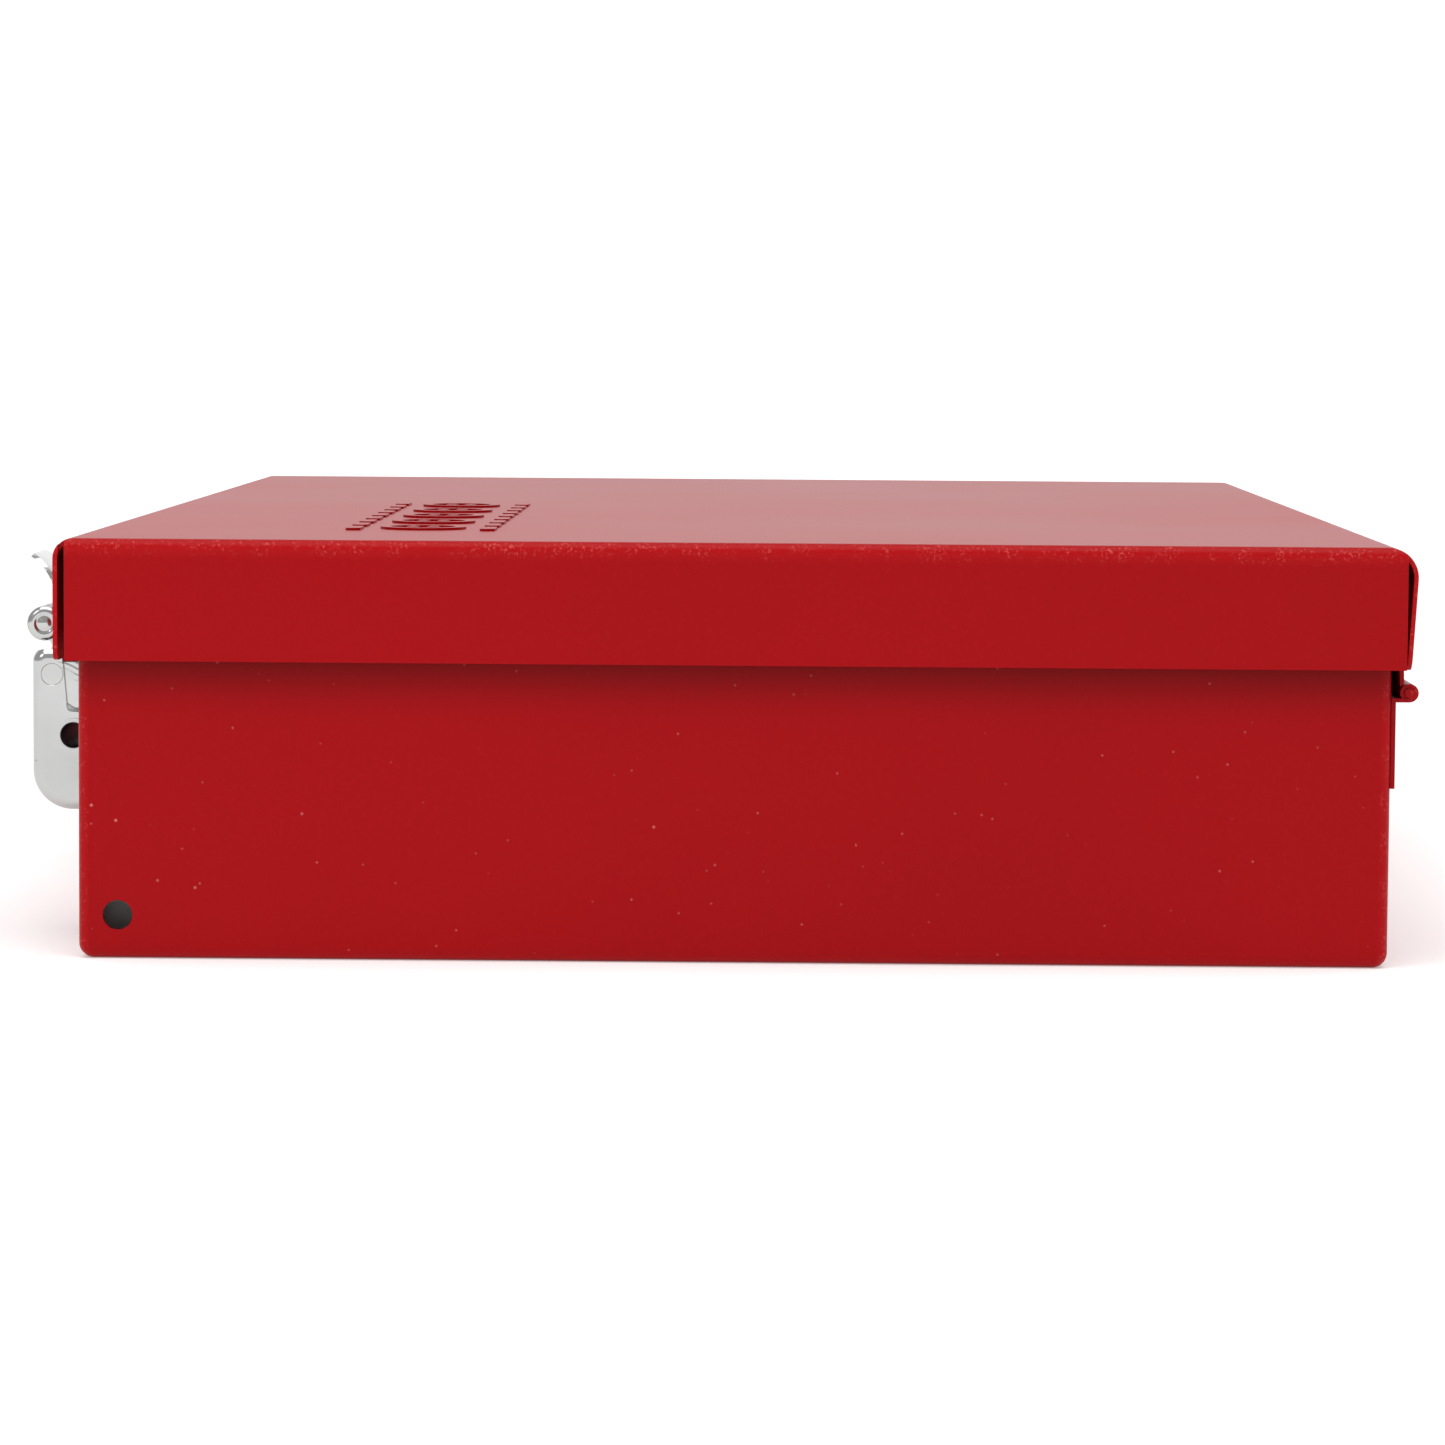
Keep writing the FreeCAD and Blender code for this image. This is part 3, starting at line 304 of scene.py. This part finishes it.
# %% Tray enamel and grip plastic
def enamel():
    f = Finish("tray_enamel")
    cloud = f.noise(9.0, 3.0, 0.5)
    hammer = f.node("ShaderNodeTexVoronoi", "Distance", Vector=f.place, Scale=240.0, Randomness=1.0)
    scuff = f.noise(150.0, 2.0, 0.6, f.stretched(0.10, 1.0, 1.0)).over(0.62, 0.72)
    cross = f.noise(150.0, 2.0, 0.6, f.stretched(1.0, 0.12, 1.0)).over(0.66, 0.74)
    marks = scuff.math("MAXIMUM", cross)
    colour = f.mix(cloud, srgb(176, 178, 174), srgb(190, 192, 188))
    colour = f.mix(marks * 0.35, colour, srgb(208, 209, 206))
    f.set(Base_Color=colour, Roughness=0.42 + marks * 0.14 + cloud * 0.06,
          Normal=f.bump(hammer * 0.7 + marks * 0.25, 0.00008, 0.5))
    return f.material


def moulded():
    f = Finish("grip_plastic")
    spark = f.noise(900.0, 2.0, 0.6)
    cloud = f.noise(40.0, 2.0, 0.5)
    colour = f.mix(cloud, srgb(24, 24, 25), srgb(38, 38, 39))
    f.set(Base_Color=colour, Roughness=0.5 + spark * 0.2, Normal=f.bump(spark, 0.00006, 0.6))
    return f.material


def bored(name, at_y, at_z, radius):
    """Plate outside; inside a bore that runs along X the colour is painted near black, a painted shade for the
    hollow.
    """
    f = Finish(name)
    _, y, z = f.axes()
    dy, dz = y - at_y, z - at_z
    reach = (dy * dy + dz * dz).math("SQRT")
    painted_bore_shade = 1.0 - reach.over(radius, radius + 0.0002)
    cloud = f.noise(300.0, 3.0, 0.6)
    # painted shade: the bore is painted near black
    colour = f.mix(painted_bore_shade, srgb(190, 191, 190), srgb(34, 28, 26))
    f.set(Base_Color=colour, Metallic=1.0, Roughness=0.16 + painted_bore_shade * 0.3 + cloud * 0.08,
          Normal=f.bump(cloud, 0.00004, 0.5))
    return f.material


tray_enamel, grip_plastic = enamel(), moulded()
pin_low, pin_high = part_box("left_latch_link_pin")
BORE_R = 0.0026  # where the plate ends and the bore's painted shade begins, m
pin_steel = bored("link_pin_steel", (pin_low.y + pin_high.y) / 2, (pin_low.z + pin_high.z) / 2, BORE_R)
print("trays and grip", tray_enamel.name, grip_plastic.name)

# %% [markdown]
# ## Dress the frame
# Each node keeps its own shape; only what fills its slot changes.

# %% Hand every node its finish
FINISH = {
    "body_pan": pan_paint, "lid_shell": lid_paint, "hinge_lower_leaf": hinge_paint,
    "hinge_upper_leaf": hinge_paint, "hinge_pin": hinge_paint, "handle_grip": grip_plastic,
    "left_tray_runner": pan_paint, "right_tray_runner": pan_paint, "handle_bail": wire,
    "left_handle_bracket": bright, "right_handle_bracket": bright,
}
for name, piece in nodes.items():
    finish = FINISH.get(name)
    if finish is None and "link_pin" in name:
        finish = pin_steel
    if finish is None and "rivets" in name and "pivot" not in name:
        finish = rivet
    if finish is None and ("latch" in name or "keeper" in name):
        finish = bright
    if finish is None:
        finish = tray_enamel
    for slot in piece.material_slots:
        slot.material = finish
print("dressed", len(nodes), "nodes")

# %% [markdown]
# ## Closed bead ends
# The draw hook ends in a curled bead that catches the keeper. On the real hook each end of the curl is pressed
# shut into a small bulb. It could be carved from the curl itself, but a cap spun from one outline gives the
# soft rim and the shallow ring directly, and it sits outside the keeper's roll, so the hook still lets go.

# %% Spin a cap for each end of each bead
BEAD_Y, BEAD_Z = -0.1424, 0.0656  # the middle of the bead, m
CAP_STEPS = 48  # sides of a cap
# the cap's outline: how far out past the bead's end, how far away from its axis, m
CAP_OUTLINE = [(-0.00070, 0.0), (0.00062, 0.0), (0.00060, 0.0005), (0.00050, 0.0011), (0.00034, 0.0015),
               (0.00034, 0.0017), (0.00052, 0.0020), (0.00056, 0.0024), (0.00048, 0.0028), (0.00030, 0.0032),
               (0.00002, 0.00348), (-0.00030, 0.00356), (-0.00070, 0.00356)]


def bead_caps(side, name):
    lo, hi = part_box(side + "_latch_link")
    bm = bmesh.new()
    for end, out in ((lo.x, -1.0), (hi.x, 1.0)):
        verts = [bm.verts.new((end + out * along, BEAD_Y, BEAD_Z + away)) for along, away in CAP_OUTLINE]
        edges = [bm.edges.new(pair) for pair in zip(verts, verts[1:])]
        bmesh.ops.spin(bm, geom=verts + edges, cent=(end, BEAD_Y, BEAD_Z), axis=(1.0, 0.0, 0.0),
                       angle=math.tau, steps=CAP_STEPS, use_merge=True)
    bmesh.ops.holes_fill(bm, edges=[e for e in bm.edges if e.is_boundary], sides=0)
    bmesh.ops.remove_doubles(bm, verts=bm.verts, dist=0.000002)
    bmesh.ops.recalc_face_normals(bm, faces=bm.faces)
    mesh = bpy.data.meshes.new(name)
    bm.to_mesh(mesh)
    bm.free()
    for p in mesh.polygons:
        p.use_smooth = True
    obj = bpy.data.objects.new(name, mesh)
    bpy.context.scene.collection.objects.link(obj)
    mesh.materials.append(bright)
    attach(obj, side + "_hook")
    return obj


caps = [bead_caps(side, side + "_bead_caps") for side in ("left", "right")]
print("bead caps", [len(c.data.polygons) for c in caps])

# %% [markdown]
# ## The room
# A pale table and an even white room. The wall behind the box is the brightest thing in it, so the lid, seen
# edge-on, mirrors it and turns pinkish, while the end wall mirrors only the calmer half of the room behind the
# viewer and keeps its deep red. One broad lamp overhead gives the lid its shadow on the pan, and the pan's coat
# adds a painted shadow there.

# %% Table top
def table_top():
    mesh = bpy.data.meshes.new("table_top")
    bm = bmesh.new()
    bmesh.ops.create_circle(bm, cap_ends=True, segments=96, radius=14.0)
    bm.to_mesh(mesh)
    bm.free()
    obj = bpy.data.objects.new("table_top", mesh)
    bpy.context.scene.collection.objects.link(obj)
    f = Finish("table_paper")
    far = f.node("ShaderNodeVectorMath", "Value", {"operation": "LENGTH"}, Vector=f.place).over(0.5, 3.0)
    grain = f.noise(3.0)
    paper = f.mix(grain, (0.86, 0.86, 0.86, 1.0), (0.88, 0.88, 0.88, 1.0))
    # the paper brightens away from the box, as a lit sweep does
    lit = f.mix(far, (0.26, 0.26, 0.26, 1.0), (0.60, 0.60, 0.60, 1.0))
    f.set(Base_Color=paper, Roughness=0.95, Emission_Color=lit, Emission_Strength=1.0, Specular_IOR_Level=0.0)
    mesh.materials.append(f.material)
    return obj


floor = table_top()
print("table across", round(floor.dimensions.x, 1), "m")

# %% [markdown]
# Light could come from an image of a studio, but two white lamps and a plain room in two tones are easier to
# read and to change. The room's tone goes by direction alone, so it doesn't move with the camera.

# %% Lamps and room
def lamp(name, place, aim, size, power):
    data = bpy.data.lights.new(name, "AREA")
    data.shape, data.size, data.size_y = "RECTANGLE", size[0], size[1]
    data.energy = power
    obj = bpy.data.objects.new(name, data)
    bpy.context.scene.collection.objects.link(obj)
    obj.location = place
    obj.rotation_euler = (Vector(aim) - Vector(place)).to_track_quat("-Z", "Y").to_euler()
    return obj


lamp("overhead", (0.9, 0.0, 2.2), (0.15, 0.0, 0.0), (2.2, 2.2), 36.0)
lamp("viewer_left", (1.9, -1.5, 1.3), (0.15, 0.0, 0.05), (0.8, 0.8), 5.0)
WALL_BEHIND, WALL_BEFORE = 1.16, 0.51  # brightness behind the box and behind the viewer
world = bpy.data.worlds.new("room")
bpy.context.scene.world = world
world.use_nodes = True
room = Bench(world.node_tree)
look = room.node("ShaderNodeTexCoord", "Generated")
along = Wave(room.tree, room.node("ShaderNodeSeparateXYZ", "X", Vector=look).socket)
wall = along.over(-0.75, -0.35)
shade = room.mix(wall, (WALL_BEHIND,) * 3 + (1.0,), (WALL_BEFORE,) * 3 + (1.0,))
room.tree.links.new(shade.socket, world.node_tree.nodes["Background"].inputs["Color"])
world.node_tree.nodes["Background"].inputs["Strength"].default_value = 1.0
bpy.context.scene.view_settings.view_transform = "Standard"
print("lamps set")

# %% [markdown]
# ## The view
# A long lens a little higher than the lid, looking along the box at its short end and slightly down on the lid.
# An Euler rotation would do, but building the three axes from the angles shows which way each one turns.

# %% Camera
LENS, SENSOR = 130.03, 36.0  # mm
EYE = Vector((1.24075, 0.01074, 0.1298))
TURN, DIP, TILT = math.radians(0.7126), math.radians(4.4606), math.radians(-0.3886)
forward = Vector((-math.cos(DIP) * math.cos(TURN), -math.cos(DIP) * math.sin(TURN), -math.sin(DIP)))
right = forward.cross(Vector((0, 0, 1))).normalized()
up = right.cross(forward)
tilted_right = right * math.cos(TILT) - up * math.sin(TILT)
tilted_up = right * math.sin(TILT) + up * math.cos(TILT)
lens = bpy.data.cameras.new("view")
lens.sensor_width, lens.lens = SENSOR, LENS
lens.clip_start, lens.clip_end = 0.01, 50.0
camera = bpy.data.objects.new("view", lens)
bpy.context.scene.collection.objects.link(camera)
camera.matrix_world = Matrix((
    (tilted_right.x, tilted_up.x, -forward.x, EYE.x),
    (tilted_right.y, tilted_up.y, -forward.y, EYE.y),
    (tilted_right.z, tilted_up.z, -forward.z, EYE.z),
    (0.0, 0.0, 0.0, 1.0)))
bpy.context.scene.camera = camera
print("camera at", [round(v, 3) for v in camera.location])

# %% Update the scene
bpy.context.view_layer.update()
